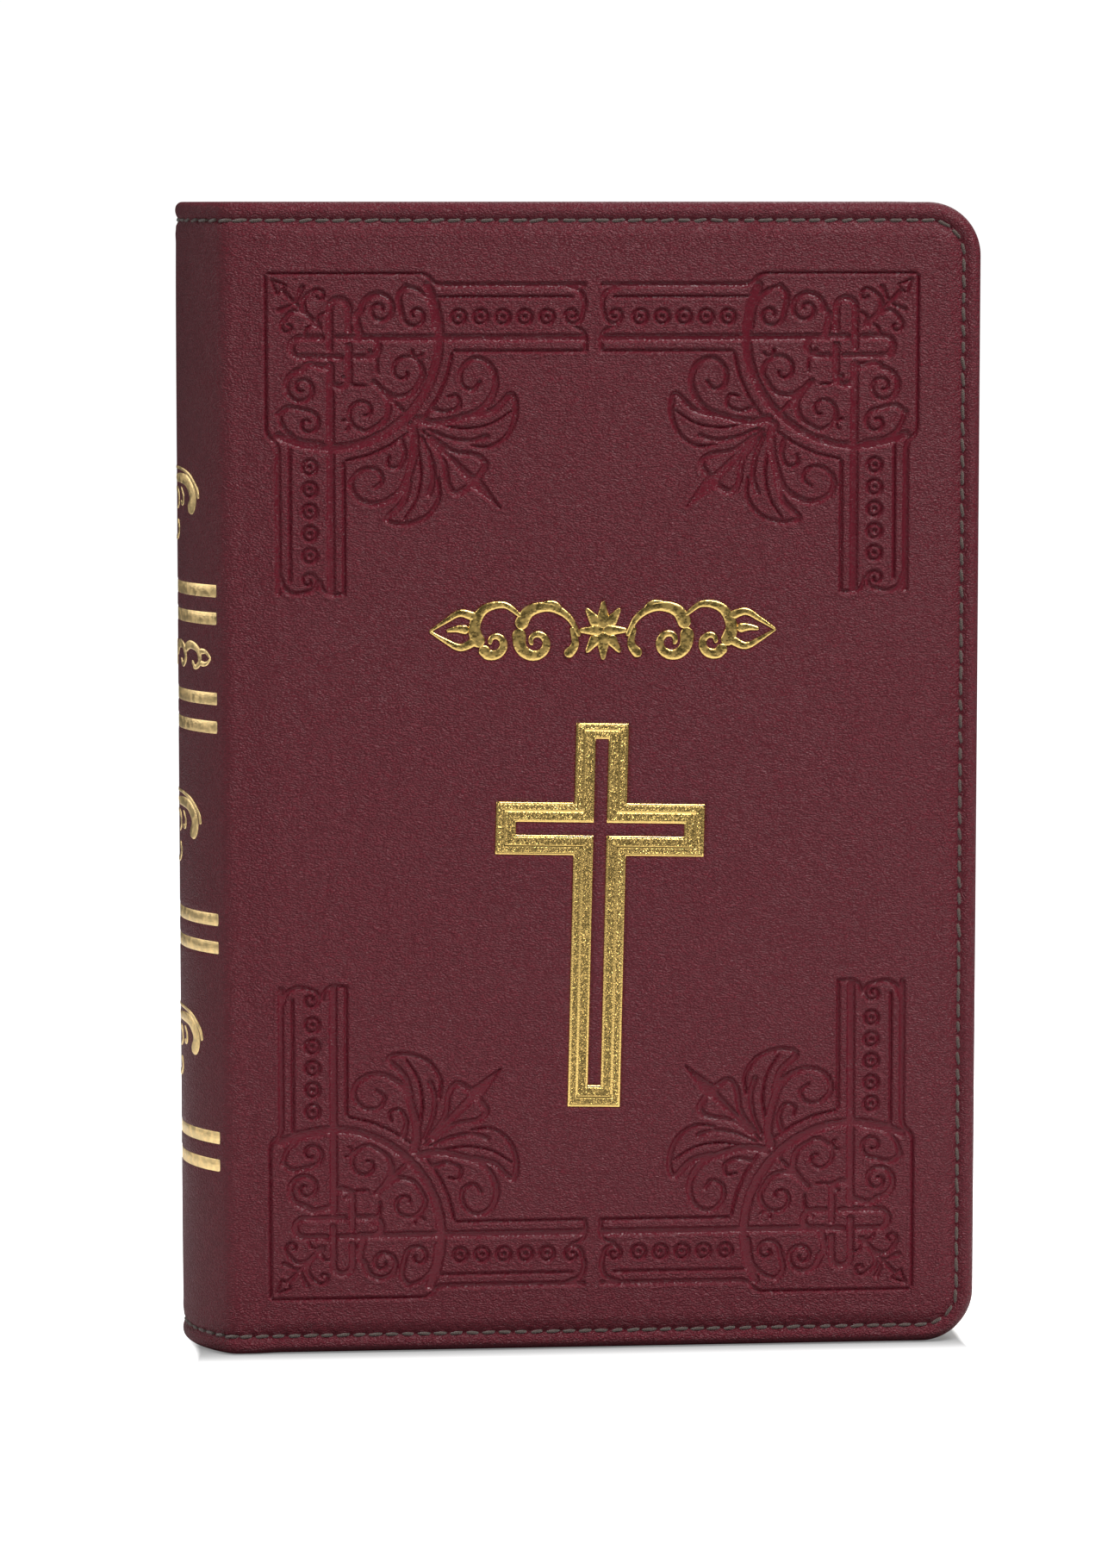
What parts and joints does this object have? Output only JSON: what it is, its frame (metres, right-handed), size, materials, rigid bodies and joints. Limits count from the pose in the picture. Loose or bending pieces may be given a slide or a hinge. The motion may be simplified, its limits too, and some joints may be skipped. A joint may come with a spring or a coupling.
{
  "type": "prayer book",
  "caption": "Leather-bound devotional book with padded covers on hinged joints, a gold-foil cross, a stitched edge and leaves that fan open.",
  "frame": {"origin": "middle of the standing edge: under the centre of the closed book, on the surface it stands on", "axes": "+Z from tail to head, +X from the spine to the fore-edge, +Y from the front cover to the back cover"},
  "size_m": [0.142, 0.036, 0.205],
  "materials": {
    "leather": "smooth-grain burgundy leather, semi-gloss, blind-stamped corners",
    "thread": "waxed dark grey-brown sewing thread",
    "gold_foil": "hot-stamped gold foil, bright, with the leather's grain in it",
    "padding": "thin closed-cell foam under the leather",
    "board": "grey binder's board",
    "lining": "cream endpaper pasted to the board",
    "mull": "open-weave binder's cloth, glued",
    "endband": "woven burgundy and cream endband",
    "paper": "thin cream printing paper with gilt edges"
  },
  "bodies": {
    "spine": {"spine_leather": "leather", "spine_inlay": "board", "spine_mull": "mull", "headband": "endband", "tailband": "endband", "spine_head_seam": "thread", "spine_tail_seam": "thread", "spine_band_1": "gold_foil", "spine_band_2": "gold_foil", "spine_band_3": "gold_foil", "spine_band_4": "gold_foil", "spine_band_5": "gold_foil", "spine_band_6": "gold_foil", "spine_band_7": "gold_foil", "spine_band_8": "gold_foil", "spine_fleuron_1": "gold_foil", "spine_fleuron_2": "gold_foil", "spine_fleuron_3": "gold_foil", "spine_flourish": "gold_foil", "sewn_back": "paper", "middle_leaves": "paper"},
    "front_cover": {"front_cover_leather": "leather", "front_padding": "padding", "front_board": "board", "front_lining": "lining", "front_seam_thread": "thread", "cross_foil": "gold_foil", "cover_flourish": "gold_foil"},
    "back_cover": {"back_cover_leather": "leather", "back_padding": "padding", "back_board": "board", "back_lining": "lining", "back_seam_thread": "thread"},
    "front_flyleaf": {"front_flyleaf": "paper"},
    "front_leaves_1": {"front_leaves_1": "paper"},
    "front_leaves_2": {"front_leaves_2": "paper"},
    "front_leaves_3": {"front_leaves_3": "paper"},
    "back_flyleaf": {"back_flyleaf": "paper"},
    "back_leaves_1": {"back_leaves_1": "paper"},
    "back_leaves_2": {"back_leaves_2": "paper"},
    "back_leaves_3": {"back_leaves_3": "paper"}
  },
  "joints": [
    {"name": "front_cover_hinge", "type": "hinge", "parent": "spine", "child": "front_cover", "pos_m": [-0.063, -0.018, 0.1025], "axis": [0, 0, -1], "range_deg": [0, 170]},
    {"name": "front_flyleaf_turn", "type": "hinge", "parent": "spine", "child": "front_flyleaf", "pos_m": [-0.059, -0.0136, 0.1025], "axis": [0, 0, -1], "range_deg": [0, 102]},
    {"name": "front_leaves_1_turn", "type": "hinge", "parent": "spine", "child": "front_leaves_1", "pos_m": [-0.059, -0.0129, 0.1025], "axis": [0, 0, -1], "range_deg": [0, 51]},
    {"name": "front_leaves_2_turn", "type": "hinge", "parent": "spine", "child": "front_leaves_2", "pos_m": [-0.059, -0.0096, 0.1025], "axis": [0, 0, -1], "range_deg": [0, 25.5]},
    {"name": "front_leaves_3_turn", "type": "hinge", "parent": "spine", "child": "front_leaves_3", "pos_m": [-0.059, -0.0063, 0.1025], "axis": [0, 0, -1], "range_deg": [0, 12.75]},
    {"name": "back_cover_hinge", "type": "hinge", "parent": "spine", "child": "back_cover", "pos_m": [-0.063, 0.018, 0.1025], "axis": [0, 0, 1], "range_deg": [0, 170]},
    {"name": "back_flyleaf_turn", "type": "hinge", "parent": "spine", "child": "back_flyleaf", "pos_m": [-0.059, 0.0136, 0.1025], "axis": [0, 0, 1], "range_deg": [0, 102]},
    {"name": "back_leaves_1_turn", "type": "hinge", "parent": "spine", "child": "back_leaves_1", "pos_m": [-0.059, 0.0129, 0.1025], "axis": [0, 0, 1], "range_deg": [0, 51]},
    {"name": "back_leaves_2_turn", "type": "hinge", "parent": "spine", "child": "back_leaves_2", "pos_m": [-0.059, 0.0096, 0.1025], "axis": [0, 0, 1], "range_deg": [0, 25.5]},
    {"name": "back_leaves_3_turn", "type": "hinge", "parent": "spine", "child": "back_leaves_3", "pos_m": [-0.059, 0.0063, 0.1025], "axis": [0, 0, 1], "range_deg": [0, 12.75]}
  ],
  "couplings": [
    {"joint": "front_flyleaf_turn", "follows": "front_cover_hinge", "ratio": 0.6},
    {"joint": "front_leaves_1_turn", "follows": "front_cover_hinge", "ratio": 0.3},
    {"joint": "front_leaves_2_turn", "follows": "front_cover_hinge", "ratio": 0.15},
    {"joint": "front_leaves_3_turn", "follows": "front_cover_hinge", "ratio": 0.075},
    {"joint": "back_flyleaf_turn", "follows": "back_cover_hinge", "ratio": 0.6},
    {"joint": "back_leaves_1_turn", "follows": "back_cover_hinge", "ratio": 0.3},
    {"joint": "back_leaves_2_turn", "follows": "back_cover_hinge", "ratio": 0.15},
    {"joint": "back_leaves_3_turn", "follows": "back_cover_hinge", "ratio": 0.075}
  ]
}
